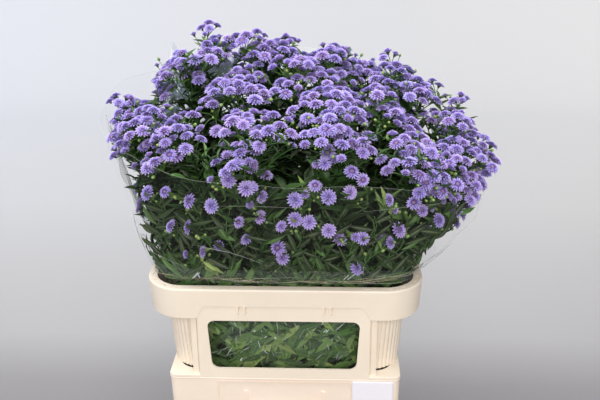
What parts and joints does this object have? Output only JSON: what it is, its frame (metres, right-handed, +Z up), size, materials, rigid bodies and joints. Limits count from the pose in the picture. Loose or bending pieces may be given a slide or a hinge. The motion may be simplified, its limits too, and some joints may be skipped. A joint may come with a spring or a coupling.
{
  "type": "potted aster",
  "caption": "Bunch of lavender asters in a clear film sleeve, standing in water in a rectangular flower bucket with a windowed collar.",
  "frame": {"origin": "middle of the underside of the bucket", "axes": "+Z up, out of the bucket's mouth; the front with the window and the label faces -Y; +X is to the right seen from the front"},
  "size_m": [0.5925, 0.4562, 0.8118],
  "materials": {
    "bucket_plastic": "moulded cream polypropylene, satin",
    "collar_plastic": "moulded cream polypropylene, satin",
    "paper_label": "white uncoated paper",
    "water": "clear water with a faint green cast",
    "clear_film": "clear glossy film with creases",
    "stems_and_leaves": "fresh green leaf",
    "petals": "soft lavender petals"
  },
  "bodies": {
    "root": {"bucket": "bucket_plastic", "collar": "collar_plastic", "label": "paper_label", "water": "water", "film_sleeve": "clear_film", "spray_01_stem_and_leaves": "stems_and_leaves", "spray_01_flowers": "petals", "spray_02_stem_and_leaves": "stems_and_leaves", "spray_02_flowers": "petals", "spray_03_stem_and_leaves": "stems_and_leaves", "spray_03_flowers": "petals", "spray_04_stem_and_leaves": "stems_and_leaves", "spray_04_flowers": "petals", "spray_05_stem_and_leaves": "stems_and_leaves", "spray_05_flowers": "petals", "spray_06_stem_and_leaves": "stems_and_leaves", "spray_06_flowers": "petals", "spray_07_stem_and_leaves": "stems_and_leaves", "spray_07_flowers": "petals", "spray_08_stem_and_leaves": "stems_and_leaves", "spray_08_flowers": "petals", "spray_09_stem_and_leaves": "stems_and_leaves", "spray_09_flowers": "petals", "spray_10_stem_and_leaves": "stems_and_leaves", "spray_10_flowers": "petals", "spray_11_stem_and_leaves": "stems_and_leaves", "spray_11_flowers": "petals", "spray_12_stem_and_leaves": "stems_and_leaves", "spray_12_flowers": "petals", "spray_13_stem_and_leaves": "stems_and_leaves", "spray_13_flowers": "petals", "spray_14_stem_and_leaves": "stems_and_leaves", "spray_14_flowers": "petals", "spray_15_stem_and_leaves": "stems_and_leaves", "spray_15_flowers": "petals", "spray_16_stem_and_leaves": "stems_and_leaves", "spray_16_flowers": "petals", "spray_17_stem_and_leaves": "stems_and_leaves", "spray_17_flowers": "petals", "spray_18_stem_and_leaves": "stems_and_leaves", "spray_18_flowers": "petals", "spray_19_stem_and_leaves": "stems_and_leaves", "spray_19_flowers": "petals", "spray_20_stem_and_leaves": "stems_and_leaves", "spray_20_flowers": "petals", "spray_21_stem_and_leaves": "stems_and_leaves", "spray_21_flowers": "petals", "spray_22_stem_and_leaves": "stems_and_leaves", "spray_22_flowers": "petals", "spray_23_stem_and_leaves": "stems_and_leaves", "spray_23_flowers": "petals", "spray_24_stem_and_leaves": "stems_and_leaves", "spray_24_flowers": "petals", "spray_25_stem_and_leaves": "stems_and_leaves", "spray_25_flowers": "petals"}
  },
  "joints": []
}
